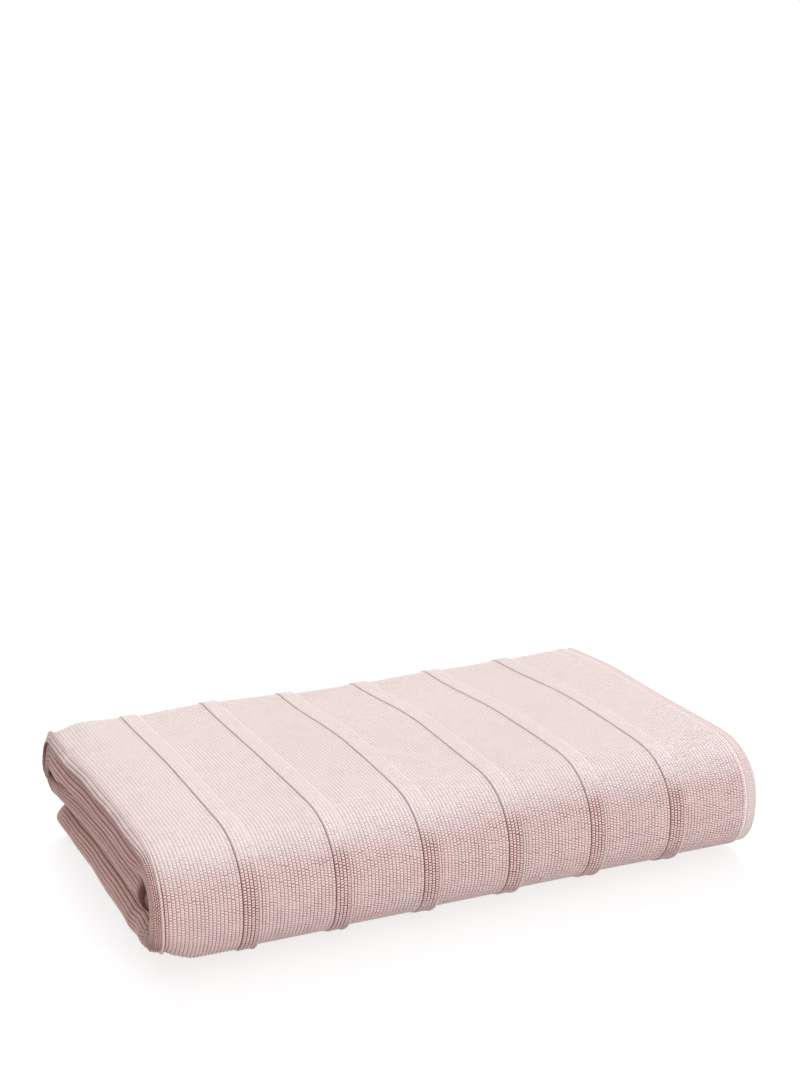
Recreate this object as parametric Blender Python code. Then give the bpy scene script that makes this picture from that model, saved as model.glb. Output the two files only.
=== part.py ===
"""A folded bath towel, modelled as the plies, turns, hems and raised bands that its cloth makes.

The towel is folded in half twice along its length, so each layer holds four plies that turn at the
left end, and then in thirds across its width. The layers run bottom, front fold, top, back fold and
tuck, with the tuck between the other two. X runs along the folded towel, with the hems at +X.
Y runs from the thick front fold to the back, and Z is up. The origin is at the bottom centre.
The top lifts at the back and turns over the front fold, which opens the last fold of the towel.
Metres throughout.
"""

import math

import bmesh
import bpy

# Driving dimensions
FOLDED_LENGTH = 0.352      # along X, from the left turn to the hems
FOLDED_DEPTH = 0.225       # along Y, from the front fold to the back fold
PLY = 0.0053               # one ply of terry with its loops
PLY_GAP = 0.0003           # between plies, and wherever two pieces meet
TUCK_CLEARANCE = 0.0020    # the hidden third ends this far short of the front fold's middle
BOTTOM_SETBACK = 0.015     # the bottom layer's free edge lies this far inside the back fold
HEM_WIDTH = 0.0080
HEM_THICKNESS = 0.0035
SELVEDGE_WIDTH = 0.0040
SELVEDGE_TRIM = 0.0008     # the selvedge is thinner than the ply by this on each side
BAND_COUNT = 6
BAND_WIDTH = 0.0082
BAND_RISE = 0.0010
FIRST_BAND = 0.0519        # from the left end to the first band's left edge
BAND_FOOT = 0.0008         # height of a lower band's end over the surface that the towel lies on

PLIES = 4                  # plies in one layer
LAYERS = 3
TURN_STEPS = 10            # facets in a half turn at the left or right end
FOLD_STEPS = 8             # facets in a quarter of a fold

COLOURS = {
    "terry": (0.80, 0.62, 0.59),
    "terry_inner": (0.72, 0.54, 0.51),
    "hem": (0.84, 0.67, 0.64),
    "selvedge": (0.78, 0.60, 0.57),
    "band": (0.83, 0.65, 0.62),
}
ROUGHNESS = 0.95

# Sizes that follow
LAYER = PLIES * PLY + (PLIES - 1) * PLY_GAP
STACK = LAYERS * LAYER + (LAYERS - 1) * PLY_GAP
BAND_PROUD = PLY_GAP + BAND_RISE
OVERALL_HEIGHT = STACK + BAND_PROUD
X_LEFT = -FOLDED_LENGTH / 2
X_RIGHT = FOLDED_LENGTH / 2
Y_FRONT = -FOLDED_DEPTH / 2
Y_BACK = FOLDED_DEPTH / 2
TURN_RADIUS = LAYER / 2
END_TURN_RADIUS = PLY + PLY_GAP / 2
HEM_START = X_RIGHT - HEM_WIDTH
FIRST_BAND_X = X_LEFT + FIRST_BAND
BAND_PITCH = (HEM_START - FIRST_BAND_X) / BAND_COUNT   # the hem starts where a next band would

# The front fold is cut at mid height, where the upper half leaves the lower one
FRONT_RADIUS = STACK / 2 - PLY_GAP / 2
FRONT_CENTRE_Y = Y_FRONT + BAND_PROUD + FRONT_RADIUS
LOWER_CENTRE_Z = FRONT_RADIUS
UPPER_CENTRE_Z = STACK - FRONT_RADIUS
BACK_RADIUS = LAYER + PLY_GAP / 2
BACK_CENTRE_Y = Y_BACK - BAND_PROUD - BACK_RADIUS
BACK_CENTRE_Z = STACK - BACK_RADIUS
TUCK_Z = LAYER + PLY_GAP
TUCK_FRONT = FRONT_CENTRE_Y + TUCK_CLEARANCE

HINGE = (0.0, Y_FRONT - PLY_GAP, OVERALL_HEIGHT / 2)


def clear_scene():
    for item in list(bpy.data.objects):
        bpy.data.objects.remove(item, do_unlink=True)


def make_material(name, colour):
    material = bpy.data.materials.new(name)
    material.use_nodes = True
    shader = material.node_tree.nodes["Principled BSDF"]
    shader.inputs["Base Color"].default_value = (*colour, 1.0)
    shader.inputs["Roughness"].default_value = ROUGHNESS
    shader.inputs["Metallic"].default_value = 0.0
    return material


def arc(centre, radius, start, end, steps):
    """Points on an arc in the outline's plane, with angles in radians."""
    points = []
    for index in range(steps + 1):
        angle = start + (end - start) * index / steps
        points.append((centre[0] + radius * math.cos(angle), centre[1] + radius * math.sin(angle)))
    return points


# Outlines of a layer's plies. The first number is X, the second is the depth below the layer's face.

def hairpin(outer_radius, trim):
    """Two plies that turn into each other at the left end, round the layer's middle.

    The first stops at its hem and the second at the turn at the right end.
    """
    centre = (X_LEFT + TURN_RADIUS, TURN_RADIUS)
    outside = outer_radius - trim
    inside = outer_radius - PLY + trim
    first_end = HEM_START - PLY_GAP
    second_end = X_RIGHT - END_TURN_RADIUS - PLY_GAP
    points = [(first_end, centre[1] - outside)]
    points += arc(centre, outside, -math.pi / 2, -3 * math.pi / 2, TURN_STEPS)
    points += [(second_end, centre[1] + outside), (second_end, centre[1] + inside)]
    points += arc(centre, inside, math.pi / 2, 3 * math.pi / 2, TURN_STEPS)
    points.append((first_end, centre[1] - inside))
    return points


def outer_loop(trim=0.0):
    """The layer's face ply and its innermost ply."""
    return hairpin(TURN_RADIUS, trim)


def inner_loop(trim=0.0):
    """The two plies between those of the outer loop."""
    return hairpin(TURN_RADIUS - PLY - PLY_GAP, trim)


def end_turn():
    """The turn at the right end that joins the third ply to the fourth."""
    centre = (X_RIGHT - END_TURN_RADIUS, LAYER - END_TURN_RADIUS)
    points = arc(centre, END_TURN_RADIUS, -math.pi / 2, math.pi / 2, TURN_STEPS)
    points += arc(centre, PLY_GAP / 2, math.pi / 2, -math.pi / 2, TURN_STEPS)
    return points


def hem(ply_index):
    """The flat woven strip on the free end of a ply."""
    near = ply_index * (PLY + PLY_GAP) + (PLY - HEM_THICKNESS) / 2
    far = near + HEM_THICKNESS
    return [(HEM_START, near), (X_RIGHT, near), (X_RIGHT, far), (HEM_START, far)]


def outline_curve(name, points, half_depth):
    """A filled outline in the curve's own XY plane."""
    data = bpy.data.curves.new(name, "CURVE")
    data.dimensions = "2D"
    data.fill_mode = "BOTH"
    data.extrude = half_depth
    spline = data.splines.new("POLY")
    spline.points.add(len(points) - 1)
    for point, place in zip(spline.points, points):
        point.co = (place[0], place[1], 0.0, 1.0)
    spline.use_cyclic_u = True
    return bpy.data.objects.new(name, data)


def add_piece(piece, body, material):
    """Put a piece in the towel's collection and hang it on its body's empty."""
    bpy.data.collections["bath_towel"].objects.link(piece)
    piece.data.materials.append(material)
    bpy.context.view_layer.update()
    piece.parent = body
    piece.matrix_parent_inverse = body.matrix_world.inverted()


def flat_panel(name, outline, y_from, y_to, face_z, side, body, material):
    """A straight stretch of a layer. Side is 1 with its face down and -1 with its face up."""
    points = [(x, side * depth) for x, depth in outline]
    piece = outline_curve(name, points, (y_to - y_from) / 2)
    piece.location = (0.0, (y_from + y_to) / 2, face_z)
    piece.rotation_euler = (math.pi / 2, 0.0, 0.0)
    add_piece(piece, body, material)


def outline_mesh(name, outline):
    """The flat filled outline as a welded mesh."""
    flat = outline_curve(name + "_outline", outline, 0.0)
    scene = bpy.context.scene.collection
    scene.objects.link(flat)
    bpy.context.view_layer.update()
    graph = bpy.context.evaluated_depsgraph_get()
    mesh = bpy.data.meshes.new_from_object(flat.evaluated_get(graph))
    bpy.data.objects.remove(flat, do_unlink=True)
    return mesh


def turned_panel(name, outline, centre_y, centre_z, radius, turn, steps, body, material):
    """A stretch of a layer that turns about a fold, from straight below or above the fold's axis.

    Turn is (start, sweep) in radians, where 0 points up and a positive angle leans to the back.
    """
    start, sweep = turn
    mesh = outline_mesh(name, outline)
    work = bmesh.new()
    work.from_mesh(mesh)
    bmesh.ops.remove_doubles(work, verts=work.verts, dist=1e-6)
    for vertex in work.verts:
        reach = radius - vertex.co.y
        vertex.co = (vertex.co.x, reach * math.sin(start), reach * math.cos(start))
    geometry = work.verts[:] + work.edges[:] + work.faces[:]
    bmesh.ops.spin(work, geom=geometry, cent=(0, 0, 0), axis=(-1, 0, 0), dvec=(0, 0, 0),
                   angle=sweep, steps=steps, use_duplicate=False)
    bmesh.ops.recalc_face_normals(work, faces=work.faces)
    work.to_mesh(mesh)
    work.free()
    mesh.shade_smooth()
    mesh.set_sharp_from_angle(angle=math.radians(30))
    piece = bpy.data.objects.new(name, mesh)
    piece.location = (0.0, centre_y, centre_z)
    add_piece(piece, body, material)


def layer_outlines():
    """The pieces that every stretch of a layer is made of."""
    return {
        "outer_plies": (outer_loop(), "terry"),
        "inner_plies": (inner_loop(), "terry_inner"),
        "end_turn": (end_turn(), "terry_inner"),
        "outer_hem": (hem(0), "hem"),
        "inner_hem": (hem(1), "hem"),
    }


def make_lower_layers(body, materials):
    """The bottom layer and the lower half of the front fold."""
    back = Y_BACK - BOTTOM_SETBACK
    plies_back = back - SELVEDGE_WIDTH - PLY_GAP
    front = FRONT_CENTRE_Y + PLY_GAP
    for part, (outline, finish) in layer_outlines().items():
        edge = plies_back if part.endswith("plies") else back
        flat_panel("bottom_" + part, outline, front, edge, 0.0, 1, body, materials[finish])
        turned_panel("front_lower_" + part, outline, FRONT_CENTRE_Y, LOWER_CENTRE_Z, FRONT_RADIUS,
                     (math.pi, math.pi / 2), FOLD_STEPS, body, materials[finish])
    selvedges = {"outer": outer_loop(SELVEDGE_TRIM), "inner": inner_loop(SELVEDGE_TRIM)}
    for part, outline in selvedges.items():
        flat_panel("bottom_" + part + "_selvedge", outline, back - SELVEDGE_WIDTH, back, 0.0, 1,
                   body, materials["selvedge"])


def make_upper_layers(body, materials):
    """The upper half of the front fold, the top, the back fold and the tucked third."""
    front = FRONT_CENTRE_Y + PLY_GAP
    back = BACK_CENTRE_Y - PLY_GAP
    tuck_plies_front = TUCK_FRONT + SELVEDGE_WIDTH + PLY_GAP
    for part, (outline, finish) in layer_outlines().items():
        edge = tuck_plies_front if part.endswith("plies") else TUCK_FRONT
        turned_panel("front_upper_" + part, outline, FRONT_CENTRE_Y, UPPER_CENTRE_Z, FRONT_RADIUS,
                     (-math.pi / 2, math.pi / 2), FOLD_STEPS, body, materials[finish])
        flat_panel("top_" + part, outline, front, back, STACK, -1, body, materials[finish])
        turned_panel("back_" + part, outline, BACK_CENTRE_Y, BACK_CENTRE_Z, BACK_RADIUS,
                     (0.0, math.pi), 2 * FOLD_STEPS, body, materials[finish])
        flat_panel("tuck_" + part, outline, edge, back, TUCK_Z, 1, body, materials[finish])
    selvedges = {"outer": outer_loop(SELVEDGE_TRIM), "inner": inner_loop(SELVEDGE_TRIM)}
    for part, outline in selvedges.items():
        flat_panel("tuck_" + part + "_selvedge", outline, TUCK_FRONT, TUCK_FRONT + SELVEDGE_WIDTH,
                   TUCK_Z, 1, body, materials["selvedge"])


# Outlines of the raised bands, in Y and Z

def upper_band_outline():
    """From the cut at the front, over the top and down to the back-most line."""
    front = (FRONT_CENTRE_Y, UPPER_CENTRE_Z)
    back = (BACK_CENTRE_Y, BACK_CENTRE_Z)
    points = []
    for proud, way in ((BAND_PROUD, 1), (PLY_GAP, -1)):
        edge = arc(front, FRONT_RADIUS + proud, math.pi, math.pi / 2, FOLD_STEPS)
        edge += arc(back, BACK_RADIUS + proud, math.pi / 2, 0.0, FOLD_STEPS)
        points += edge[::way]
    return points


def lower_band_outline():
    """From the cut at the front down to just over the surface below."""
    centre = (FRONT_CENTRE_Y, LOWER_CENTRE_Z)
    outside = FRONT_RADIUS + BAND_PROUD
    foot = math.asin((LOWER_CENTRE_Z - BAND_FOOT) / outside)
    points = arc(centre, outside, math.pi, math.pi + foot, FOLD_STEPS)
    points += arc(centre, FRONT_RADIUS + PLY_GAP, math.pi + foot, math.pi, FOLD_STEPS)
    return points


def make_bands(name, outline, body, material):
    """One strip across the towel for each raised band."""
    for index in range(BAND_COUNT):
        left = FIRST_BAND_X + index * BAND_PITCH
        piece = outline_curve(f"{name}_band_{index + 1}", outline, BAND_WIDTH / 2)
        piece.location = (left + BAND_WIDTH / 2, 0.0, 0.0)
        piece.rotation_euler = (math.pi / 2, 0.0, math.pi / 2)
        add_piece(piece, body, material)


def add_body(name, place):
    body = bpy.data.objects.new(name, None)
    body.location = place
    body.empty_display_size = 0.02
    bpy.data.collections["bath_towel"].objects.link(body)
    bpy.context.view_layer.update()
    return body


def main():
    clear_scene()
    collection = bpy.data.collections.new("bath_towel")
    bpy.context.scene.collection.children.link(collection)
    materials = {name: make_material(name, colour) for name, colour in COLOURS.items()}
    lower = add_body("lower_fold", (0.0, 0.0, 0.0))
    upper = add_body("upper_fold", HINGE)
    upper.parent = lower
    bpy.context.view_layer.update()
    make_lower_layers(lower, materials)
    make_upper_layers(upper, materials)
    make_bands("lower", lower_band_outline(), lower, materials["band"])
    make_bands("upper", upper_band_outline(), upper, materials["band"])


main()
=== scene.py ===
import math

import bpy
import numpy as np
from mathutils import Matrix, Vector

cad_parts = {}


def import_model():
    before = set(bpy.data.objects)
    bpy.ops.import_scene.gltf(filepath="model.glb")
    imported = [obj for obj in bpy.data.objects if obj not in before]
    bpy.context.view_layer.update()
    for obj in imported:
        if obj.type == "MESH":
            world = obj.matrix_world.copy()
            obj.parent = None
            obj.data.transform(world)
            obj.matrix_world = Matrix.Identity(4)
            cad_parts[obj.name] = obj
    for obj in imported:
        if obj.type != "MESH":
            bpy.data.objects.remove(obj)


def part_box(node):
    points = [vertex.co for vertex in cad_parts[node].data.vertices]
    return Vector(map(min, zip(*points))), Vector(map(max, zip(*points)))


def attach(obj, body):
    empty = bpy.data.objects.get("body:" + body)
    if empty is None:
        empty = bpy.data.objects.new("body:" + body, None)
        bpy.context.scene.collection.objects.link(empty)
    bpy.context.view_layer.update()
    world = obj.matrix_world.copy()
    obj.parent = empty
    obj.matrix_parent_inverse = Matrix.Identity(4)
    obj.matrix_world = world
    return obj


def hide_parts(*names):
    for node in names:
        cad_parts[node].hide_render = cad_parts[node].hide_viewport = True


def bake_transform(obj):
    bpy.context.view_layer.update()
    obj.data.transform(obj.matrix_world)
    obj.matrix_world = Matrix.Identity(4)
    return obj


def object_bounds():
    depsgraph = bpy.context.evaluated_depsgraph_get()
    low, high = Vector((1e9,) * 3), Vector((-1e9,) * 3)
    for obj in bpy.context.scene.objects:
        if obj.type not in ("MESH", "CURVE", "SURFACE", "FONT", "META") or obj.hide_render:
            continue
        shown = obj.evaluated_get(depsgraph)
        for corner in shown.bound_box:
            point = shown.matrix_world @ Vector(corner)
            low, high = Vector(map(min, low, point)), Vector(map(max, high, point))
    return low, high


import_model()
cadLow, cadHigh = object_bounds()

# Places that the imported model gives
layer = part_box("bottom_outer_plies")[1].z
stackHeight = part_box("top_outer_plies")[1].z
plyPitch = (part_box("bottom_end_turn")[1].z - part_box("bottom_end_turn")[0].z) / 2
left = cadLow.x
right = cadHigh.x
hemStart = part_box("top_outer_hem")[0].x
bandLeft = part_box("upper_band_1")[0].x
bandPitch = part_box("upper_band_2")[0].x - bandLeft
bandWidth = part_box("upper_band_1")[1].x - bandLeft
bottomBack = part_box("bottom_outer_hem")[1].y
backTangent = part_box("top_outer_plies")[1].y
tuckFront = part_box("tuck_outer_hem")[0].y
clothStart = hemStart - 0.0002   # the ribbed cloth stops just short of the hem

cloth = {
    "ribsPerBand": 25,
    "ribHeight": 0.00085,
    "bandRise": 0.0008,
    "sag": 0.0006,           # how far the cloth drops just right of a raised band
    "grooveDepth": 0.0004,
    "cordRise": 0.0007,
    "plyShare": 0.93,        # of the room that a ply has
    "foldReach": 0.0400,     # how far back the front fold's curve runs
    "foldPower": 2.3,        # 2 is an ellipse, more is squarer
    "foldStandoff": 0.0013,  # the front fold stays this far behind the frame's front
    "turnReach": 0.0105,     # how far the left turns bulge
    "fanned": 1.35,          # how far the ribs spread on the left turns
    "fanLength": 0.026,      # along the cloth, from the corded edge on
    "tuckPast": 0.004,       # how much further forward the tuck reaches
}
ribPitch = bandPitch / cloth["ribsPerBand"]
plyThick = plyPitch * cloth["plyShare"]


# ---- the fold's path in Y and Z, seen along X

def densePath():
    halfHeight = stackHeight / 2
    reach = cloth["foldReach"]
    middle = cadLow.y + reach + cloth["foldStandoff"]
    power = 2 / cloth["foldPower"]
    turn = np.linspace(-math.pi / 2, math.pi / 2, 1201)
    foldY = middle - reach * np.abs(np.cos(turn)) ** power
    foldZ = halfHeight + halfHeight * np.sign(np.sin(turn)) * np.abs(np.sin(turn)) ** power
    backRadius = layer + 0.00015
    swing = np.linspace(math.pi / 2, -math.pi / 2, 601)
    backY = backTangent + backRadius * np.cos(swing)
    backZ = stackHeight - backRadius + backRadius * np.sin(swing)
    y = [np.linspace(bottomBack, middle, 600)[:-1], foldY,
         np.linspace(middle, backTangent, 600)[1:-1], backY,
         np.linspace(backTangent, tuckFront - cloth["tuckPast"], 500)[1:]]
    z = [np.zeros(599), foldZ, np.full(598, stackHeight), backZ,
         np.full(499, stackHeight - 2 * backRadius)]
    counts = np.cumsum([len(part) for part in y])
    y = np.concatenate(y)
    z = np.concatenate(z)
    run = np.concatenate([[0.0], np.cumsum(np.hypot(np.diff(y), np.diff(z)))])
    marks = {"foldStart": run[counts[0]], "foldEnd": run[counts[1] - 1],
             "backStart": run[counts[2]], "backEnd": run[counts[3] - 1], "end": run[-1]}
    ty = np.gradient(y, run)
    tz = np.gradient(z, run)
    size = np.hypot(ty, tz)
    # the inward side is to the left of the way round
    return {"run": run, "y": y, "z": z, "ny": tz / size, "nz": -ty / size, "marks": marks}


path = densePath()
marks = path["marks"]


def alongPath(run):
    return {key: np.interp(run, path["run"], path[key]) for key in ("y", "z", "ny", "nz")}


# ---- the plies' curves in X and depth, seen along the path

def measured(points):
    points = np.array(points)
    run = np.concatenate([[0.0], np.cumsum(np.hypot(*np.diff(points, axis=0).T))])
    keep = np.concatenate([[True], np.diff(run) > 1e-9])
    return points[keep], run[keep]


def offsetCurve(points, distance):
    tangent = np.gradient(points, axis=0)
    tangent /= np.linalg.norm(tangent, axis=1)[:, None]
    inward = np.stack([tangent[:, 1], -tangent[:, 0]], 1)
    return points + inward * distance, inward


def halfTurn(centreX, centreDepth, reachX, reachDepth, start, end, steps=200):
    angle = np.linspace(start, end, steps)
    return np.stack([centreX + reachX * np.cos(angle), centreDepth + reachDepth * np.sin(angle)], 1)


def straight(x0, x1, depth, steps=400):
    return np.stack([np.linspace(x0, x1, steps), np.full(steps, depth)], 1)


def outerPly():
    turnX = left + cloth["turnReach"]
    endX = right - plyPitch
    points = [straight(clothStart, turnX, 0.0)[:-1],
              halfTurn(turnX, layer / 2, cloth["turnReach"], layer / 2, -math.pi / 2,
                       -3 * math.pi / 2),
              straight(turnX, endX, layer)[1:-1],
              halfTurn(endX, layer - plyPitch, plyPitch, plyPitch, math.pi / 2, -math.pi / 2),
              straight(endX, endX - 0.02, layer - 2 * plyPitch, 60)[1:]]
    return measured(np.concatenate(points))


def innerPly():
    turnX = left + cloth["turnReach"]
    gap = plyPitch
    endX = right - plyPitch - 0.021
    points = [straight(clothStart, turnX, gap)[:-1],
              halfTurn(turnX, layer / 2, cloth["turnReach"] - gap, layer / 2 - gap, -math.pi / 2,
                       -3 * math.pi / 2),
              straight(turnX, endX, layer - gap)[1:]]
    return measured(np.concatenate(points))


# ---- how the whole stack has settled

slump = {
    "ridge": -0.1645,        # x of the corded edge that runs round the left end
    "setIn": 0.0106,         # how far the lower layers' left ends stand in
    "setInFrom": (-0.095, 0.070),   # x where that starts, and how far left it takes
    "frontTurn": 0.36,       # how much of its bulge the left turn keeps at the front
    "floorTurn": 0.45,
    "lowTurn": 1.0,
    "topTurn": 0.62,
    "backTurn": 0.30,
    "droop": 0.75,
    "pinch": 0.17,           # how much thinner a layer gets towards its left end
    "wrapThin": 0.34,
    "backDrop": 0.0035,
    "middleDrop": 0.0045,
    "cornerDrop": 0.0018,
    "cornerFrom": (-0.146, 0.028),
    "rightDrop": 0.0043,
    "shoulder": (0.0018, -0.146, 0.016),   # height, x and width of the rise beside the corner
    "footLift": 0.0013,      # the bands reach the floor, the cloth between them doesn't
    "cornerLift": 0.0075,
    "cornerLiftFrom": (-0.145, 0.025),
    "tipLift": 0.0035,
    "tipLiftFrom": (-0.157, 0.010),
    "cornerBack": 0.010,     # how far the bottom's back corner stands forward
}


def ease(value):
    value = np.clip(value, 0, 1)
    return value * value * (3 - 2 * value)


def after(value, start, width):
    # 0 up to start, then softly up to 1
    return ease((value - start) / width)


def before(value, end, width):
    # 1 until width before end, then softly down to 0
    return ease((end - value) / width)


def blendTo(first, second, share):
    return first + (second - first) * share


def warp(points):
    x, y, z = points.T
    high = z / stackHeight
    out = points.copy()
    atBack = after(y, 0.045, 0.050)
    low = 1 - after(z, blendTo(0.037, 0.018, atBack), 0.021)
    behind = after(y, -0.105, 0.035)
    keep = blendTo(slump["topTurn"], slump["backTurn"], atBack)
    keep = blendTo(keep, slump["lowTurn"], low)
    front = blendTo(slump["frontTurn"], slump["floorTurn"], 1 - ease(z / 0.016))
    keep = blendTo(front, keep, behind)
    past = np.clip(slump["ridge"] - x, 0, None)
    leftness = before(x, *slump["setInFrom"])
    out[:, 0] = x + past * (1 - keep) + leftness * slump["setIn"] * low * behind
    ragged = np.sin(y * 123 - z * 97) + 0.25 * np.sin(y * 301 + z * 41 + 1.3)
    ragged = ragged + 0.4 * np.sin(y * 71)
    out[:, 0] += 0.0004 * np.sin(y * 33 + z * 60) + 0.00025 * ease(past / 0.004) * ragged
    drop = slump["backDrop"] + slump["middleDrop"] * np.exp(-(((x - 0.03) / 0.075) ** 2))
    atRight = after(x, 0.110, 0.055)
    drop = drop * (1 - atRight) + slump["cornerDrop"] * before(x, *slump["cornerFrom"])
    rise, middleX, width = slump["shoulder"]
    drop -= rise * np.exp(-(((x - middleX) / width) ** 2))
    drop = drop * after(y, -0.010, 0.100)
    drop = drop + slump["rightDrop"] * atRight * after(y, 0.03, 0.075)
    drop = drop * ease(high * 1.45)
    sway = 0.0010 * np.sin(x * 21 + y * 9 + 0.6) + 0.0006 * np.sin(x * 47 - y * 33 + 2.0)
    crown = 0.0012 * np.cos(np.clip((y - 0.01) / 0.11, -1, 1) * math.pi / 2)
    foot = slump["footLift"] * np.clip(1 - z / 0.012, 0, 1.4)
    corner = slump["cornerLift"] * before(x, *slump["cornerLiftFrom"])
    foot += corner * (1 - ease(z / 0.030)) * (1 - behind)
    tip = slump["tipLift"] * before(x, *slump["tipLiftFrom"])
    foot += tip * (1 - ease(z / 0.025)) * (1 - behind)
    droop = slump["droop"] * past * (1 - keep) * after(z, 0.038, 0.012) * behind
    out[:, 2] = z + high * (sway + crown - 0.0008) - drop + foot - droop
    shallow = 1 - after(z, 0.016, 0.012)
    out[:, 1] = y + 0.0009 * np.sin(x * 26 + 1.0) * np.clip(high * 1.2, 0, 1)
    out[:, 1] -= slump["cornerBack"] * leftness * atBack * shallow
    return out


# ---- the left end, where the layers turn and crumple

leftEnd = {
    "thinFrom": (-0.146, 0.020),    # x where each starts, and how far left it takes
    "turnFrom": (-0.1665, 0.003),
    "fallFrom": (-0.158, 0.012),
    "lipFrom": (-0.1655, 0.004),
    "shadeFrom": (-0.1575, 0.006),
    "turnShadeFrom": (-0.1595, 0.004),
    "lipTuck": 0.0055,       # how far the left turn falls back below its lifted edge
    "lipDepth": 0.0030,      # how thick the lifted edge is
    "lipOut": 0.0012,        # how far the lifted edge stands out
    "pleat": 0.0015,
    "pleatPitch": 0.0046,
}


def crumple(start, depth, x, clothU, rows, shows, wrap):
    # start is the section's x, and x is the same after the ends' taper
    turned = before(start, *leftEnd["turnFrom"]) * shows
    pastLip = bandLeft - bandPitch - clothU
    lip = before(pastLip, 0.0004, 0.0008) * before(clothU, *leftEnd["lipFrom"])
    lifted = after(rows - marks["foldStart"], 0.015, 0.030) * before(rows, marks["backEnd"], 0.030)
    lifted = (lifted * (1 - 0.7 * wrap))[:, None]
    beyond = depth - leftEnd["lipDepth"]
    fallen = ease(beyond / 0.0012) * (1 - ease(beyond / 0.013))
    fallen = fallen * before(x, *leftEnd["fallFrom"]) * lifted
    x = x + leftEnd["lipTuck"] * fallen - leftEnd["lipOut"] * turned * lip * lifted
    backWrap = after(rows - marks["backStart"], -0.010, 0.015)
    backWrap = backWrap * before(rows, marks["backEnd"] + 0.025, 0.025)
    level = depth / layer
    bunch = np.maximum(backWrap[:, None] * np.clip(level, 0.25, 1),
                       wrap[:, None] * after(level, 0.5, 0.2))
    pleats = np.sin(rows * 2 * math.pi / leftEnd["pleatPitch"] + 1.6 * np.sin(rows * 210))[:, None]
    atFoot = after(rows - marks["foldStart"], -0.026, 0.015)
    atFoot = atFoot * before(rows, marks["foldStart"] + 0.020, 0.015)
    bunch = np.maximum(bunch, 0.45 * atFoot[:, None] * after(level, 0.15, 0.2))
    x = x + leftEnd["pleat"] * turned * bunch * pleats
    pinched = turned * np.clip(bunch * 1.4, 0, 1) * before(pleats, -0.1, 0.8)
    return x, {"turned": turned, "lifted": lifted, "beyond": beyond, "fallen": fallen,
               "backWrap": backWrap, "pinched": pinched}


def shaded(outwardZ, depth, start, clothU, rows, shows, wrap, folds):
    # how deep in a fold each point lies, from 0 to 1.8, as painted shade for facing away from the
    # light and lying in a fold, and how much painted crease shade it gets
    fold = 1 - after(outwardZ, 0.38, 0.60)
    fold = fold + (1 - fold) * after(depth, 0.003, 0.004)
    rim = np.minimum(np.abs(depth), np.abs(layer - depth))
    onTop = after(rows - marks["foldStart"], -0.012, 0.012)
    onTop = onTop * before(rows, marks["backEnd"] - 0.004, 0.012)
    rim = np.where(depth < layer / 2, rim + 0.006 * onTop[:, None], rim)
    leftward = before(start, *leftEnd["shadeFrom"])
    gloom = (1 - ease(rim / 0.006)) * leftward
    underLip = np.exp(-(((folds["beyond"] - 0.0014) / 0.0012) ** 2)) * folds["lifted"] * leftward
    hollow = np.maximum(folds["backWrap"][:, None], wrap[:, None]) * after(depth / layer, 0.70, 0.2)
    atTuckEnd = np.where(rows > marks["end"] - 0.004, 1.0, 0.0)[:, None]
    hollow = np.maximum(hollow, atTuckEnd) * leftward
    # painted shade along the creases between the rolls, under the lifted edge, in the hollows and
    # in the pinched pleats
    creaseShade = np.maximum((1 - ease(rim / 0.0030)) * leftward, 0.9 * underLip)
    creaseShade = np.maximum(creaseShade, np.maximum(0.45 * folds["fallen"], 1.6 * hollow))
    creaseShade = np.maximum(creaseShade, 0.75 * folds["pinched"]) * shows
    # painted shade on the turned side beside the corded ridge, where the cloth falls back under its
    # lip and in the gloom of the left end
    fold = fold + 0.55 * before(clothU, *leftEnd["turnShadeFrom"]) * shows
    fold = fold + 0.10 * folds["turned"] + 0.5 * folds["fallen"] + 0.5 * gloom
    return np.clip(fold, 0, 1.8), creaseShade


# ---- one closed piece of ply, its section swept along the path

def closedMesh(name, points, count, columns):
    i = np.arange(count - 1)[:, None] * columns
    j = np.arange(columns)[None, :]
    k = (np.arange(columns)[None, :] + 1) % columns
    faces = np.stack([i + j, i + k, i + columns + k, i + columns + j], 2).reshape(-1, 4).tolist()
    faces.append(list(range(columns))[::-1])
    faces.append(list(range((count - 1) * columns, count * columns)))
    mesh = bpy.data.meshes.new(name)
    mesh.from_pydata(points.tolist(), [], faces)
    return mesh


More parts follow.
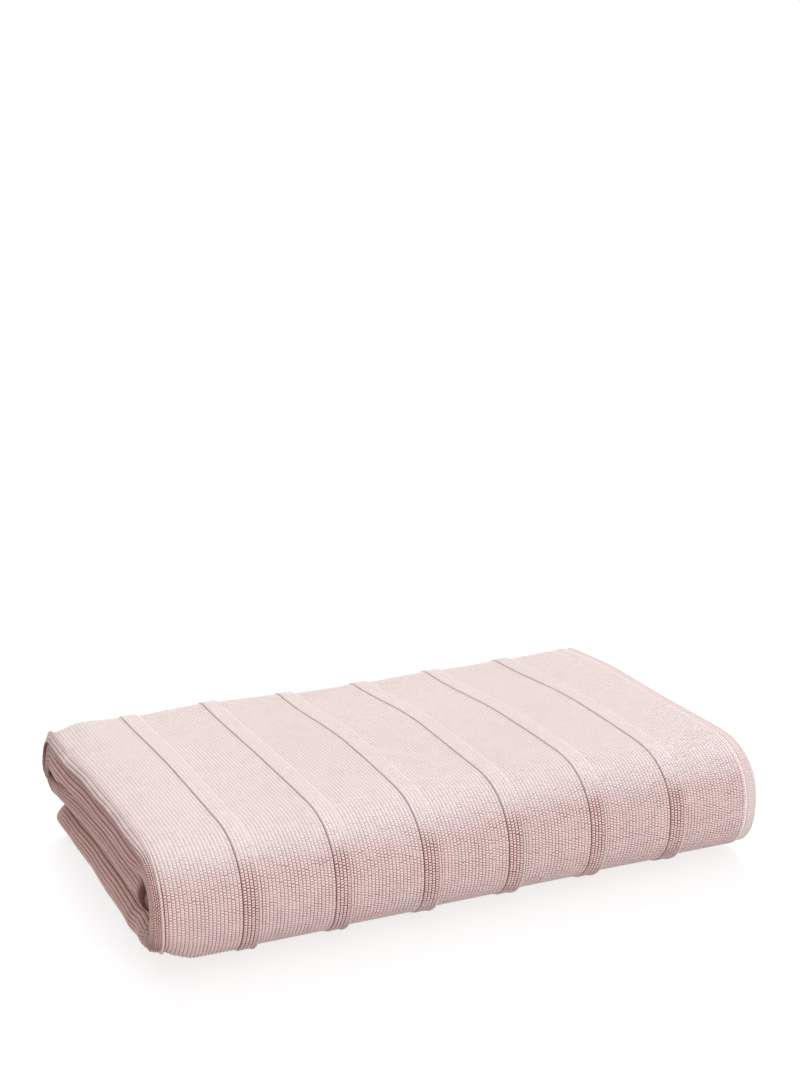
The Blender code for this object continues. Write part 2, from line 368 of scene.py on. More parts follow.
def sweep(name, outer, inner, rows, finish, taperStart=False, taperEnd=False):
    section = np.concatenate([outer["at"], inner["at"][::-1]])
    facing = np.concatenate([outer["facing"], np.zeros_like(inner["facing"])])
    clothU = np.concatenate([outer["u"], inner["u"][::-1]])
    shows = np.concatenate([np.ones(len(outer["u"])), np.zeros(len(inner["u"]))])
    count, columns = len(rows), len(section)
    place = alongPath(rows)
    squeeze = np.ones(count)
    ends = np.array([0.35, 0.75, 0.95])
    edge = np.zeros(count)
    if taperStart:
        squeeze[:3] = ends
        edge = np.maximum(edge, 1 - after(rows, 0.0035, 0.0020))
    if taperEnd:
        squeeze[-3:] = ends[::-1]
        edge = np.maximum(edge, 1 - before(rows, marks["end"] - 0.0035, 0.0020))
    toMiddle = np.concatenate([outer["toMiddle"], inner["toMiddle"][::-1]])
    x = section[:, 0] + toMiddle[:, 0] * (1 - squeeze[:, None])
    depth = section[:, 1] + toMiddle[:, 1] * (1 - squeeze[:, None])
    leftness = before(section[:, 0], *leftEnd["thinFrom"])
    depth = layer / 2 + (depth - layer / 2) * (1 - slump["pinch"] * leftness)
    wrap = after(rows, marks["foldStart"], 0.030) * before(rows, marks["foldEnd"], 0.030)
    depth = depth * (1 - slump["wrapThin"] * wrap[:, None] * leftness)
    x, folds = crumple(section[:, 0], depth, x, clothU, rows, shows, wrap)
    y = place["y"][:, None] + place["ny"][:, None] * depth
    z = place["z"][:, None] + place["nz"][:, None] * depth
    points = warp(np.stack([x, y, z], 2).reshape(-1, 3))
    outward = np.stack([np.tile(facing[:, 0], (count, 1)),
                        place["ny"][:, None] * facing[None, :, 1],
                        place["nz"][:, None] * facing[None, :, 1]], 2)
    fold, creaseShade = shaded(outward[:, :, 2], depth, section[:, 0], clothU, rows, shows, wrap, folds)
    mesh = closedMesh(name, points, count, columns)
    values = {"clothU": np.tile(clothU, count), "clothV": np.repeat(rows, columns),
              "relief": np.tile(shows, count) * np.repeat(1 - edge, columns),
              "foldShade": fold.ravel(), "creaseShade": creaseShade.ravel(), "edge": np.repeat(edge, columns)}
    for key, value in values.items():
        stored = mesh.attributes.new(key, "FLOAT", "POINT")
        stored.data.foreach_set("value", value.astype(np.float32))
    direction = mesh.attributes.new("outward", "FLOAT_VECTOR", "POINT")
    direction.data.foreach_set("vector", outward.astype(np.float32).ravel())
    loops = np.zeros(len(mesh.loops), np.int32)
    mesh.loops.foreach_get("vertex_index", loops)
    uv = mesh.uv_layers.new(name="cloth")
    flat = np.stack([values["clothU"][loops], values["clothV"][loops]], 1).astype(np.float32)
    uv.data.foreach_set("uv", flat.ravel())
    mesh.materials.append(finish)
    piece = bpy.data.objects.new(name, mesh)
    bpy.context.scene.collection.objects.link(piece)
    return piece


def clothAcross(run):
    # place across the cloth, with the ribs spread out round the left turn
    edgeRun = clothStart - bandLeft + bandPitch
    turned = np.clip(run - edgeRun, 0, cloth["fanLength"])
    return clothStart - run + turned * (1 - 1 / cloth["fanned"])


def plySpan(curve, start, stop, samples, thick):
    # samples is the number of points for each rib
    points, run = curve
    inside, _ = offsetCurve(points, thick)
    half = thick / 2
    _, inward = offsetCurve(points, 0.0)
    count = max(2, int(round((stop - start) / ribPitch * samples)) + 1)
    fine = np.linspace(start, stop, count)
    coarse = np.linspace(start, stop, max(4, count // (6 * samples) + 3))

    def at(where, data):
        return np.stack([np.interp(where, run, data[:, 0]), np.interp(where, run, data[:, 1])], 1)

    outer = {"at": at(fine, points), "facing": -at(fine, inward), "u": clothAcross(fine),
             "toMiddle": at(fine, inward) * half}
    inner = {"at": at(coarse, inside), "facing": at(coarse, inward), "u": clothStart - coarse,
             "toMiddle": -at(coarse, inward) * half}
    return outer, inner


def spaced(start, stop, step):
    return np.linspace(start, stop, max(2, int(math.ceil((stop - start) / step)) + 1))


def frontRows(fineness=1.0):
    edge = np.array([0.0, 0.0006, 0.0014])
    parts = [edge, spaced(0.003, marks["foldStart"], 0.0045 * fineness),
             spaced(marks["foldStart"], marks["foldEnd"], 0.0014 * fineness)[1:],
             spaced(marks["foldEnd"], marks["backStart"], 0.0025 * fineness)[1:]]
    return np.concatenate(parts)


def backRows(fineness=1.0):
    end = marks["end"] - np.array([0.0014, 0.0006, 0.0])
    parts = [spaced(marks["backStart"], marks["backEnd"], 0.0014 * fineness),
             spaced(marks["backEnd"], marks["end"] - 0.003, 0.005 * fineness)[1:], end]
    return np.concatenate(parts)


# ---- ribs and raised bands, as a Geometry Nodes tree on the swept ply

def newSocket(tree, name, kind, way="INPUT", value=None):
    socket = tree.interface.new_socket(name=name, in_out=way, socket_type=kind)
    if value is not None:
        socket.default_value = value
    return socket


class Wires:
    # shorthands for adding and joining nodes in one tree
    def __init__(self, tree):
        self.tree = tree

    def node(self, kind, **facts):
        made = self.tree.nodes.new(kind)
        for key, value in facts.items():
            setattr(made, key, value)
        return made

    def put(self, socket, value):
        if isinstance(value, bpy.types.NodeSocket):
            self.tree.links.new(value, socket)
        else:
            socket.default_value = value

    def math(self, how, a, b=0.0, c=0.0):
        made = self.node("ShaderNodeMath", operation=how)
        for socket, value in zip(made.inputs, (a, b, c)):
            self.put(socket, value)
        return made.outputs[0]

    def smooth(self, value, low, high, fromLow=0.0, fromHigh=1.0):
        made = self.node("ShaderNodeMapRange", interpolation_type="SMOOTHSTEP")
        for name, number in (("Value", value), ("From Min", low), ("From Max", high),
                             ("To Min", fromLow), ("To Max", fromHigh)):
            self.put(made.inputs[name], number)
        return made.outputs["Result"]


def ribTree():
    tree = bpy.data.node_groups.new("ribbedTerry", "GeometryNodeTree")
    newSocket(tree, "Geometry", "NodeSocketGeometry")
    sizes = {"Rib Pitch": ribPitch, "Rib Height": cloth["ribHeight"], "Band Pitch": bandPitch,
             "Band Width": bandWidth, "Band Rise": cloth["bandRise"], "Sag": cloth["sag"],
             "Groove Depth": cloth["grooveDepth"], "Cord Rise": cloth["cordRise"],
             "First Band": bandLeft}
    for name, value in sizes.items():
        newSocket(tree, name, "NodeSocketFloat", value=value)
    newSocket(tree, "Finish", "NodeSocketMaterial")
    newSocket(tree, "Geometry", "NodeSocketGeometry", way="OUTPUT")
    w = Wires(tree)
    given = w.node("NodeGroupInput").outputs
    read = {}
    for name, kind in (("clothU", "FLOAT"), ("relief", "FLOAT"), ("foldShade", "FLOAT"),
                       ("outward", "FLOAT_VECTOR")):
        made = w.node("GeometryNodeInputNamedAttribute", data_type=kind)
        made.inputs["Name"].default_value = name
        read[name] = made.outputs["Attribute"]
    fromBand = w.math("SUBTRACT", read["clothU"], given["First Band"])
    turns = w.math("MULTIPLY", w.math("DIVIDE", fromBand, given["Rib Pitch"]), math.pi)
    wave = w.math("POWER", w.math("ABSOLUTE", w.math("SINE", turns)), 0.7)
    where = w.math("FLOORED_MODULO", fromBand, given["Band Pitch"])
    toEdge = w.math("MINIMUM", where, w.math("SUBTRACT", given["Band Pitch"], where))
    fade = w.math("ADD", given["Band Width"], 0.0036)
    upright = w.smooth(read["foldShade"], 0.1, 0.8)
    plateau = w.math("MULTIPLY", w.smooth(where, 0.0, 0.0004),
                     w.smooth(where, given["Band Width"], fade, 1.0, 0.0))
    grooveAndShade = w.smooth(toEdge, 0.0, 0.00042, 1.0, 0.0)
    toCord = w.math("ABSOLUTE", w.math("SUBTRACT", where, given["Band Width"]))
    cord = w.smooth(toCord, 0.0003, 0.0008, 1.0, 0.0)
    cord = w.math("MULTIPLY", cord, w.math("MULTIPLY_ADD", upright, 0.85, 0.15))
    ring = w.math("MULTIPLY", w.smooth(toCord, 0.0006, 0.0010),
                  w.smooth(toCord, 0.0011, 0.0016, 1.0, 0.0))
    across = w.math("DIVIDE", where, given["Band Pitch"])
    sag = w.math("MULTIPLY", w.math("SUBTRACT", 1.0, across), w.math("SUBTRACT", 1.0, plateau))
    rise = w.math("MULTIPLY", w.math("SUBTRACT", wave, 0.6), given["Rib Height"])
    for mask, amount in ((plateau, "Band Rise"), (cord, "Cord Rise")):
        rise = w.math("ADD", rise, w.math("MULTIPLY", mask, given[amount]))
    for mask, amount in ((sag, "Sag"), (grooveAndShade, "Groove Depth")):
        rise = w.math("SUBTRACT", rise, w.math("MULTIPLY", mask, given[amount]))
    rise = w.math("MULTIPLY", rise, read["relief"])
    push = w.node("ShaderNodeVectorMath", operation="SCALE")
    w.put(push.inputs[0], read["outward"])
    w.put(push.inputs["Scale"], rise)
    move = w.node("GeometryNodeSetPosition")
    w.put(move.inputs["Geometry"], given["Geometry"])
    w.put(move.inputs["Offset"], push.outputs[0])
    last = move.outputs[0]
    # painted shade: the grooves at the bands' left edges and a ring beside each cord are stored to
    # be painted darker
    shaded = w.math("MAXIMUM", grooveAndShade, w.math("MULTIPLY", w.math("MULTIPLY", ring, upright), 0.45))
    # the corded edges are pale, partly a painted highlight, and the one that runs round the left
    # end is painted the palest
    pale = w.math("MULTIPLY", cord, w.smooth(read["clothU"], -0.155, -0.145, 1.0, 0.5))
    for name, value in (("plateau", plateau), ("grooveAndShade", shaded), ("cord", pale)):
        store = w.node("GeometryNodeStoreNamedAttribute", data_type="FLOAT", domain="POINT")
        store.inputs["Name"].default_value = name
        w.put(store.inputs["Geometry"], last)
        w.put(store.inputs["Value"], value)
        last = store.outputs[0]
    real = w.node("GeometryNodeRealizeInstances")
    w.put(real.inputs[0], last)
    paint = w.node("GeometryNodeSetMaterial")
    w.put(paint.inputs["Geometry"], real.outputs[0])
    w.put(paint.inputs["Material"], given["Finish"])
    w.put(w.node("NodeGroupOutput").inputs[0], paint.outputs[0])
    return tree


seam = {
    "radius": 0.0008,
    "sunk": 0.0002,          # how far its middle lies in the cloth
    "sides": 12,
    "stitchPitch": 0.0031,
    "stitchRadius": 0.00026,
    "stitchLength": 4.4,     # in radii
    "stitchSunk": 0.00042,
    "firstRow": 0.0021,      # in from the hem's start
    "lastRow": 0.0019,       # in from the towel's right end
}


def stitchTree():
    # one stitch on each point, turned along the seam
    tree = bpy.data.node_groups.new("hemStitches", "GeometryNodeTree")
    newSocket(tree, "Geometry", "NodeSocketGeometry")
    newSocket(tree, "Radius", "NodeSocketFloat", value=seam["stitchRadius"])
    newSocket(tree, "Length", "NodeSocketFloat", value=seam["stitchLength"])
    newSocket(tree, "Finish", "NodeSocketMaterial")
    newSocket(tree, "Geometry", "NodeSocketGeometry", way="OUTPUT")
    w = Wires(tree)
    given = w.node("NodeGroupInput").outputs
    bead = w.node("GeometryNodeMeshUVSphere")
    bead.inputs["Segments"].default_value = 8
    bead.inputs["Rings"].default_value = 6
    w.put(bead.inputs["Radius"], given["Radius"])
    along = w.node("GeometryNodeInputNamedAttribute", data_type="FLOAT_VECTOR")
    along.inputs["Name"].default_value = "along"
    turn = w.node("FunctionNodeAlignRotationToVector", axis="Z")
    w.put(turn.inputs["Vector"], along.outputs["Attribute"])
    size = w.node("ShaderNodeCombineXYZ")
    size.inputs[0].default_value = 1.0
    size.inputs[1].default_value = 1.0
    w.put(size.inputs[2], given["Length"])
    place = w.node("GeometryNodeInstanceOnPoints")
    w.put(place.inputs["Points"], given["Geometry"])
    w.put(place.inputs["Instance"], bead.outputs["Mesh"])
    w.put(place.inputs["Rotation"], turn.outputs[0])
    w.put(place.inputs["Scale"], size.outputs[0])
    real = w.node("GeometryNodeRealizeInstances")
    w.put(real.inputs[0], place.outputs[0])
    paint = w.node("GeometryNodeSetMaterial")
    w.put(paint.inputs["Geometry"], real.outputs[0])
    w.put(paint.inputs["Material"], given["Finish"])
    w.put(w.node("NodeGroupOutput").inputs[0], paint.outputs[0])
    return tree


def setInput(modifier, name, value):
    for item in modifier.node_group.interface.items_tree:
        if item.item_type == "SOCKET" and item.in_out == "INPUT" and item.name == name:
            modifier[item.identifier] = value


def grown(piece, tree, finish):
    modifier = piece.modifiers.new("make", "NODES")
    modifier.node_group = tree
    setInput(modifier, "Finish", finish)
    bpy.context.view_layer.update()
    graph = bpy.context.evaluated_depsgraph_get()
    mesh = bpy.data.meshes.new_from_object(piece.evaluated_get(graph))
    piece.modifiers.clear()
    if not mesh.uv_layers:
        mesh.uv_layers.new(name="cloth")
    old = piece.data
    piece.data = mesh
    bpy.data.meshes.remove(old)
    mesh.shade_smooth()
    mesh.set_sharp_from_angle(angle=math.radians(75))


# ---- finishes

def pileGroup():
    tree = bpy.data.node_groups.new("terryPile", "ShaderNodeTree")
    for name, value in (("Rib Pitch", ribPitch), ("Loop Pitch", 0.0014), ("First Band", bandLeft)):
        newSocket(tree, name, "NodeSocketFloat", value=value)
    for name in ("Height", "GapShade", "ValleyShade", "Fuzz", "Patch"):
        newSocket(tree, name, "NodeSocketFloat", way="OUTPUT")
    w = Wires(tree)
    given = w.node("NodeGroupInput").outputs
    uv = w.node("ShaderNodeUVMap", uv_map="cloth").outputs[0]
    apart = w.node("ShaderNodeSeparateXYZ")
    w.put(apart.inputs[0], uv)
    place = w.node("ShaderNodeTexCoord").outputs["Object"]
    grain = w.node("ShaderNodeTexNoise", noise_dimensions="3D")
    w.put(grain.inputs["Vector"], place)
    for name, value in (("Scale", 1500.0), ("Detail", 2.0), ("Roughness", 0.6)):
        grain.inputs[name].default_value = value
    sway = w.node("ShaderNodeTexNoise", noise_dimensions="3D")
    w.put(sway.inputs["Vector"], place)
    sway.inputs["Scale"].default_value = 260.0
    sway.inputs["Detail"].default_value = 1.0
    phase = w.math("DIVIDE", w.math("SUBTRACT", apart.outputs["X"], given["First Band"]),
                   given["Rib Pitch"])
    odd = w.math("MULTIPLY", w.math("FLOORED_MODULO", w.math("FLOOR", phase), 2.0), 0.5)
    crest = w.math("ABSOLUTE", w.math("SINE", w.math("MULTIPLY", phase, math.pi)))
    loop = w.math("ADD", w.math("DIVIDE", apart.outputs["Y"], given["Loop Pitch"]), odd)
    loop = w.math("ADD", loop, w.math("MULTIPLY", sway.outputs[0], 1.3))
    bead = w.math("ABSOLUTE", w.math("SINE", w.math("MULTIPLY", loop, math.pi)))
    bead = w.math("POWER", bead, 0.6)
    height = w.math("MULTIPLY", w.math("MULTIPLY", bead, w.math("POWER", crest, 0.5)), 0.75)
    height = w.math("ADD", height, w.math("MULTIPLY", grain.outputs[0], 0.45))
    out = w.node("NodeGroupOutput").inputs
    w.put(out["Height"], height)
    # the gap and valley masks are where painted shade goes: between the loops and down between the
    # ribs
    gap = w.math("MULTIPLY", w.math("SUBTRACT", 1.0, bead), w.math("POWER", crest, 0.6))
    w.put(out["GapShade"], gap)
    w.put(out["ValleyShade"], w.smooth(crest, 0.12, 0.68, 1.0, 0.0))
    w.put(out["Fuzz"], grain.outputs[0])
    blotch = w.node("ShaderNodeTexNoise", noise_dimensions="3D")
    w.put(blotch.inputs["Vector"], place)
    blotch.inputs["Scale"].default_value = 110.0
    blotch.inputs["Detail"].default_value = 1.0
    w.put(out["Patch"], blotch.outputs[0])
    return tree


def mixed(w, share, first, second):
    made = w.node("ShaderNodeMix", data_type="RGBA")
    w.put(made.inputs["Factor"], share)
    for socket, value in ((made.inputs[6], first), (made.inputs[7], second)):
        w.put(socket, value if isinstance(value, bpy.types.NodeSocket) else (*value, 1.0))
    return made.outputs[2]


def attribute(w, name):
    return w.node("ShaderNodeAttribute", attribute_name=name).outputs["Fac"]


terryLook = {
    "upper": (0.88, 0.788, 0.768),   # painted light: the pink where the pile faces up to the light
    "side": (0.87, 0.660, 0.645),
    "inner": (0.82, 0.490, 0.445),   # painted shade: the pink down in the folds
    "pale": (0.95, 0.82, 0.795),
    # the corded edges' pale colour, partly a painted highlight
    "cord": (0.99, 0.92, 0.905),
    # painted shade for the gaps between loops and the rib valleys
    "deep": (0.27, 0.070, 0.058),
    # painted shade in the grooves at the bands' left edges and beside the cords
    "grooveAndShade": (0.50, 0.20, 0.175),
    # painted shade in the creases between rolls and under the lifted edges
    "creaseShade": (0.18, 0.042, 0.034),
    "loopDepth": 0.0008,
    "roughness": 0.92,
    "sheen": 0.06,
}


def terryFinish(name, group, look):
    material = bpy.data.materials.new(name)
    material.use_nodes = True
    tree = material.node_tree
    w = Wires(tree)
    shader = tree.nodes["Principled BSDF"]
    pile = w.node("ShaderNodeGroup", node_tree=group)
    shadeAmount = attribute(w, "foldShade")
    sideways = w.math("MINIMUM", shadeAmount, 1.0)
    patches = w.math("MULTIPLY_ADD", pile.outputs["Patch"], 0.9, 0.55)
    # painted shade in the gaps between loops and down the rib valleys, stronger on the sides, in
    # the folds and on the raised bands
    denser = w.math("MULTIPLY_ADD", sideways, 1.25, -0.35)
    denser = w.math("MULTIPLY", attribute(w, "plateau"), denser)
    denser = w.math("ADD", denser, 1.0)
    gaps = w.math("MULTIPLY", pile.outputs["GapShade"], w.math("MULTIPLY_ADD", sideways, 0.58, 0.16))
    deepFoldShade = w.smooth(shadeAmount, 1.0, 1.6)
    depth = w.math("MULTIPLY_ADD", deepFoldShade, 0.42, w.math("MULTIPLY_ADD", sideways, 0.36, 0.24))
    valleys = w.math("MULTIPLY", pile.outputs["ValleyShade"], depth)
    pileShade = w.math("MULTIPLY", w.math("MAXIMUM", gaps, valleys), w.math("MULTIPLY", patches, denser))
    pileShade = w.math("MINIMUM", pileShade, w.math("MULTIPLY_ADD", attribute(w, "edge"), -0.75, 0.92))
    # painted light and shade: one pink, painted paler where the pile faces up, darker on the sides
    # and darker still deep in the folds
    colour = mixed(w, sideways, look["upper"], look["side"])
    colour = mixed(w, deepFoldShade, colour, look["inner"])
    colour = mixed(w, w.math("MULTIPLY", pile.outputs["Fuzz"], 0.6), colour, look["pale"])
    colour = mixed(w, pileShade, colour, look["deep"])
    # the corded edges painted pale, partly a painted highlight
    colour = mixed(w, w.math("MULTIPLY", attribute(w, "cord"), 0.85), colour, look["cord"])
    # painted shade in the grooves
    colour = mixed(w, w.math("MULTIPLY", attribute(w, "grooveAndShade"), 0.6), colour, look["grooveAndShade"])
    # painted shade in the creases
    creased = w.math("MINIMUM", w.math("MULTIPLY", attribute(w, "creaseShade"), 0.62), 0.95)
    colour = mixed(w, creased, colour, look["creaseShade"])
    w.put(shader.inputs["Base Color"], colour)
    shader.inputs["Roughness"].default_value = look["roughness"]
    shader.inputs["Sheen Weight"].default_value = look["sheen"]
    shader.inputs["Sheen Roughness"].default_value = 0.5
    shader.inputs["Sheen Tint"].default_value = (1.0, 0.85, 0.83, 1.0)
    shader.inputs["Specular IOR Level"].default_value = 0.2
    bump = w.node("ShaderNodeBump")
    bump.inputs["Strength"].default_value = 1.0
    bump.inputs["Distance"].default_value = look["loopDepth"]
    w.put(bump.inputs["Height"], pile.outputs["Height"])
    w.put(shader.inputs["Normal"], bump.outputs[0])
    return material


def wovenFinish(name, colour, deep):
    material = bpy.data.materials.new(name)
    material.use_nodes = True
    tree = material.node_tree
    w = Wires(tree)
    shader = tree.nodes["Principled BSDF"]
    uv = w.node("ShaderNodeUVMap", uv_map="cloth").outputs[0]
    apart = w.node("ShaderNodeSeparateXYZ")
    w.put(apart.inputs[0], uv)
    across = w.math("SINE", w.math("MULTIPLY", apart.outputs["X"], 2 * math.pi / 0.0009))
    along = w.math("SINE", w.math("MULTIPLY", apart.outputs["Y"], 2 * math.pi / 0.0015))
    weave = w.math("MULTIPLY_ADD", w.math("MULTIPLY_ADD", across, 0.4, along), 0.36, 0.5)
    w.put(shader.inputs["Base Color"], mixed(w, w.math("MULTIPLY", weave, 0.6), colour, deep))
    shader.inputs["Roughness"].default_value = 0.85
    shader.inputs["Sheen Weight"].default_value = 0.25
    shader.inputs["Specular IOR Level"].default_value = 0.25
    bump = w.node("ShaderNodeBump")
    bump.inputs["Distance"].default_value = 0.00025
    w.put(bump.inputs["Height"], weave)
    w.put(shader.inputs["Normal"], bump.outputs[0])
    return material


def threadFinish(name):
    material = bpy.data.materials.new(name)
    material.use_nodes = True
    tree = material.node_tree
    w = Wires(tree)
    shader = tree.nodes["Principled BSDF"]
    twist = w.node("ShaderNodeTexNoise", noise_dimensions="3D")
    w.put(twist.inputs["Vector"], w.node("ShaderNodeTexCoord").outputs["Object"])
    twist.inputs["Scale"].default_value = 2200.0
    colour = mixed(w, twist.outputs[0], (0.95, 0.86, 0.845), (0.84, 0.70, 0.68))
    w.put(shader.inputs["Base Color"], colour)
    shader.inputs["Roughness"].default_value = 0.7
    shader.inputs["Specular IOR Level"].default_value = 0.3
    return material


# ---- making the towel

print("finishes")
terry = terryFinish("terryCloth", pileGroup(), terryLook)
woven = wovenFinish("hemWeave", (0.75, 0.625, 0.61), (0.53, 0.385, 0.375))
thread = threadFinish("thread")
seamCord = wovenFinish("seamCord", (0.93, 0.83, 0.81), (0.70, 0.54, 0.52))

print("cloth")
tree = ribTree()
outerCurve = outerPly()
innerCurve = innerPly()
outerTotal = outerCurve[1][-1]


def cuts():
    # the face ply is cut at the raised bands' left edges, where the lip hides the seam
    places = [0.0]
    edge = bandLeft + 5 * bandPitch
    while clothStart - edge < outerTotal * 0.52:
        places.append(clothStart - edge)
        edge -= bandPitch
    return places


def crossing(piece):
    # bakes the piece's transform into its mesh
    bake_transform(piece)


def addPly(number, section, fineness, kind=""):
    # one strip of cloth, as a piece shaped round the front fold and one behind the back fold, on
    # the upper fold's body
    outer, inner = section
    frontName, backName = (("innerFrontPly", "innerBackPly") if kind == "inner"
                           else ("frontPly", "backPly"))
    front = sweep(f"{frontName}{number}", outer, inner, frontRows(fineness), terry, taperStart=True)
    grown(front, tree, terry)
    crossing(front)
    back = sweep(f"{backName}{number}", outer, inner, backRows(fineness), terry, taperEnd=True)
    grown(back, tree, terry)
    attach(back, "upper_fold")
    return [front, back]


def addPlies():
    made = []
    places = cuts()
    spans = [(a, b, 8) for a, b in zip(places[:-1], places[1:])]
    rest = np.linspace(places[-1], outerTotal, 4)   # the hidden part needs fewer points
    spans += [(a, b, 4) for a, b in zip(rest[:-1], rest[1:])]
    for number, (start, stop, samples) in enumerate(spans, 1):
        section = plySpan(outerCurve, start, stop, samples, plyThick)
        fineness = 1.0 if samples == 8 else 1.7
        made += addPly(number, section, fineness)
    middle = np.linspace(0.0, innerCurve[1][-1], 3)
    for number, (start, stop) in enumerate(zip(middle[:-1], middle[1:]), 1):
        section = plySpan(innerCurve, start, stop, 2, plyThick)
        made += addPly(number, section, 2.0, kind="inner")
    return made


def tubeSection(points, toMiddle):
    # a section with no inner side
    none = np.zeros((0, 2))
    facing = np.tile([0.0, -1.0], (len(points), 1))
    outer = {"at": points, "facing": facing, "u": points[:, 0], "toMiddle": toMiddle}
    return outer, {"at": none, "facing": none, "u": np.zeros(0), "toMiddle": none}


hem = {"thick": 0.0040, "sides": 28}


def hemSection(depth):
    # a flattened tube
    thick = hem["thick"]
    width = right - hemStart
    angle = np.linspace(0, 2 * math.pi, hem["sides"] + 1)[:-1]
    x = hemStart + width / 2 - width / 2 * np.sign(np.cos(angle)) * np.abs(np.cos(angle)) ** 0.55
    r = depth + plyThick / 2 - thick / 2 * np.sign(np.sin(angle)) * np.abs(np.sin(angle)) ** 0.7
    points = np.stack([x, r], 1)
    middle = np.array([[hemStart + width / 2, depth + plyThick / 2]])
    return tubeSection(points, (middle - points) * (0.3, 1.0))


def addHems():
    made = []
    for number, depth in (("Outer", 0.0), ("Inner", plyPitch)):
        outer, inner = hemSection(depth)
        front = sweep(f"front{number}Hem", outer, inner, frontRows(1.3), woven, taperStart=True)
        back = sweep(f"back{number}Hem", outer, inner, backRows(1.3), woven, taperEnd=True)
        for piece in (front, back):
            piece.data.shade_smooth()
            piece.data.set_sharp_from_angle(angle=math.radians(60))
        crossing(front)
        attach(back, "upper_fold")
        made += [front, back]
    return made


def seamSection():
    angle = np.linspace(0, 2 * math.pi, seam["sides"] + 1)[:-1]
    x = clothStart - seam["radius"] * np.cos(angle)
    r = seam["sunk"] - seam["radius"] * np.sin(angle)
    points = np.stack([x, r], 1)
    return tubeSection(points, ((hemStart, seam["sunk"]) - points) * 0.8)


def addSeam():
    outer, inner = seamSection()
    front = sweep("frontSeam", outer, inner, frontRows(1.2), seamCord, taperStart=True)
    back = sweep("backSeam", outer, inner, backRows(1.2), seamCord, taperEnd=True)
    for piece in (front, back):
        piece.data.shade_smooth()
    crossing(front)
    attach(back, "upper_fold")
    return [front, back]


def stitches(name, start, stop, stitched):
    rows = spaced(start, stop, seam["stitchPitch"])
    place = alongPath(rows)
    points = []
    for x in (hemStart + seam["firstRow"], right - seam["lastRow"]):
        at = np.stack([np.full(len(rows), x), place["y"] + place["ny"] * seam["stitchSunk"],
                       place["z"] + place["nz"] * seam["stitchSunk"]], 1)
        points.append(warp(at))
    along = np.concatenate([np.gradient(row, axis=0) for row in points])
    mesh = bpy.data.meshes.new(name)
    mesh.from_pydata(np.concatenate(points).tolist(), [], [])
    mesh.materials.append(thread)
    direction = mesh.attributes.new("along", "FLOAT_VECTOR", "POINT")
    direction.data.foreach_set("vector", along.astype(np.float32).ravel())
    piece = bpy.data.objects.new(name, mesh)
    bpy.context.scene.collection.objects.link(piece)
    grown(piece, stitched, thread)
    return piece


def addStitches():
    stitched = stitchTree()
    front = stitches("frontStitches", 0.004, marks["backStart"] - 0.001, stitched)
    crossing(front)
    back = stitches("backStitches", marks["backStart"] + 0.001, marks["end"] - 0.004, stitched)
    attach(back, "upper_fold")
    return [front, back]


plies = addPlies()
hems = addHems() + addSeam() + addStitches()
frontStretches = ("bottom", "front_lower", "front_upper", "top")
backStretches = ("back", "tuck")
for side, stretches in (("front", frontStretches), ("back", backStretches)):
    free = "bottom" if side == "front" else "tuck"
    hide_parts(*[f"{part}_outer_plies" for part in stretches],
                f"{free}_outer_selvedge")
    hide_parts(*[f"{part}_inner_plies" for part in stretches], f"{free}_inner_selvedge")
    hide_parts(*[f"{part}_end_turn" for part in stretches])
    for number in ("Outer", "Inner"):
        nodes = [f"{part}_{number.lower()}_hem" for part in stretches]
        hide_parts(*nodes)
for band in range(1, 7):
    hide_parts(f"lower_band_{band}", f"upper_band_{band}")

# ---- floor, light and camera

print("floor, light and camera")
floorMesh = bpy.data.meshes.new("floor")
floorMesh.from_pydata([(-60, -60, 0), (60, -60, 0), (60, 60, 0), (-60, 60, 0)], [], [(0, 1, 2, 3)])
floorMaterial = bpy.data.materials.new("paleFloor")
floorMaterial.use_nodes = True
floorShader = floorMaterial.node_tree.nodes["Principled BSDF"]
floorShader.inputs["Base Color"].default_value = (0.32, 0.32, 0.32, 1)
floorShader.inputs["Roughness"].default_value = 0.9
floorShader.inputs["Emission Color"].default_value = (1, 1, 1, 1)
floorShader.inputs["Emission Strength"].default_value = 0.72
floorMesh.materials.append(floorMaterial)
floor = bpy.data.objects.new("floor", floorMesh)
floor.location = (0, 0, -0.0003)
floor.visible_diffuse = False
bpy.context.scene.collection.objects.link(floor)

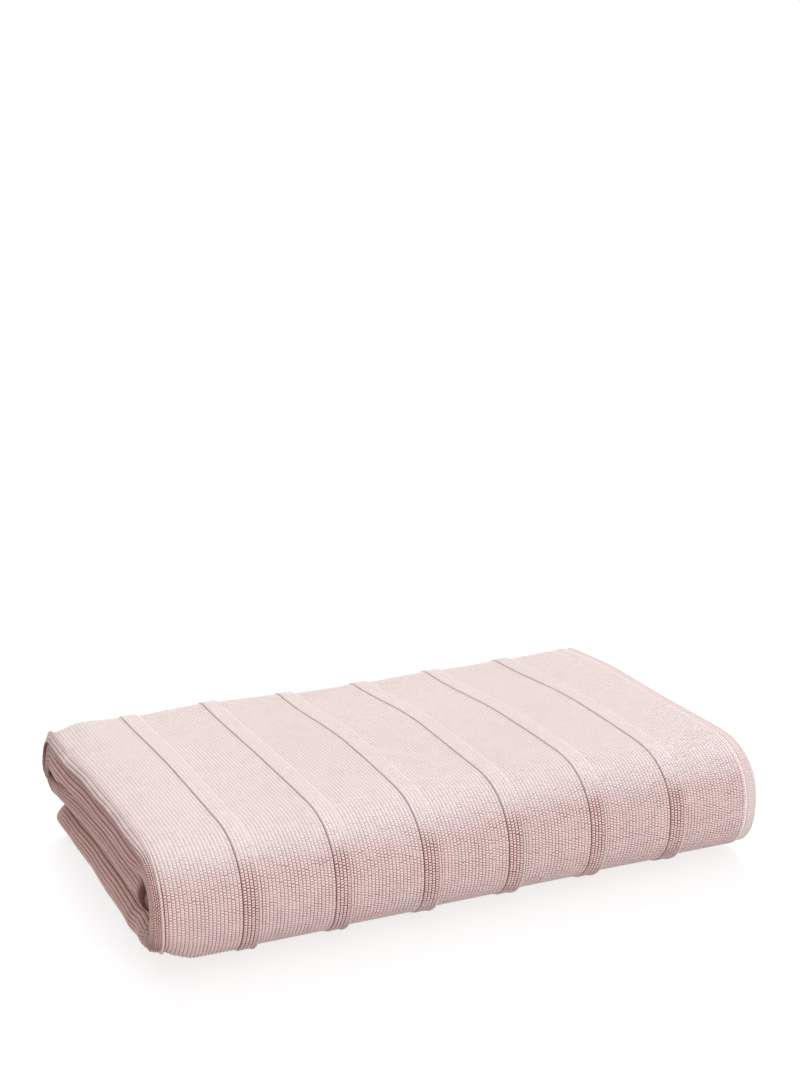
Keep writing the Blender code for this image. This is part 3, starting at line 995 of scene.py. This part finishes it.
world = bpy.data.worlds.new("studio")
bpy.context.scene.world = world
world.use_nodes = True
w = Wires(world.node_tree)
backdrop = world.node_tree.nodes["Background"]
seen = w.node("ShaderNodeLightPath").outputs["Is Camera Ray"]
facing = w.node("ShaderNodeSeparateXYZ")
w.put(facing.inputs[0], w.node("ShaderNodeTexCoord").outputs["Generated"])
sky = w.smooth(facing.outputs["Z"], -0.6, 1.0, 0.34, 0.80)
ahead = w.smooth(facing.outputs["Y"], -1.0, -0.2, 0.35, 0.0)
leftward = w.smooth(facing.outputs["X"], -1.0, 0.1, 0.16, 0.0)
sky = w.math("ADD", w.math("ADD", sky, ahead), leftward)
w.put(backdrop.inputs["Color"], mixed(w, seen, (1.0, 0.99, 0.985), (1.0, 1.0, 1.0)))
w.put(backdrop.inputs["Strength"], w.math("MAXIMUM", seen, sky))


def aimed(direction):
    return Vector(direction).to_track_quat("-Z", "Y").to_euler()


def addSun(name, fromWhere, power, spread, colour):
    data = bpy.data.lights.new(name, "SUN")
    data.energy = power
    data.angle = math.radians(spread)
    data.color = colour
    lamp = bpy.data.objects.new(name, data)
    lamp.rotation_euler = aimed(-np.array(fromWhere, float))
    bpy.context.scene.collection.objects.link(lamp)


addSun("keyLamp", (0.30, 0.90, 1.0), 1.8, 35, (1.0, 0.995, 0.99))
addSun("fillLamp", (0.35, -1.0, -0.03), 2.3, 50, (1.0, 0.98, 0.97))

view = {"yaw": 24.9, "pitch": 15.4, "focal": 61.8, "distance": 1.032, "shiftX": -0.0118,
        "shiftY": -0.1424}
cameraData = bpy.data.cameras.new("camera")
camera = bpy.data.objects.new("camera", cameraData)
bpy.context.scene.collection.objects.link(camera)
cameraData.sensor_width = 36.0
cameraData.lens = view["focal"]
cameraData.clip_start = 0.01
yaw, pitch = math.radians(view["yaw"]), math.radians(view["pitch"])
forward = np.array([math.sin(yaw) * math.cos(pitch), math.cos(yaw) * math.cos(pitch),
                    -math.sin(pitch)])
sideways = np.array([math.cos(yaw), -math.sin(yaw), 0.0])
upward = np.cross(sideways, forward)
centre = np.array([bandLeft + 2.5 * bandPitch, 0.0, stackHeight / 2])
eye = centre - forward * view["distance"] - sideways * view["shiftX"] - upward * view["shiftY"]
camera.location = eye
camera.rotation_euler = aimed(forward)
bpy.context.scene.camera = camera
bpy.context.scene.view_settings.view_transform = "Standard"
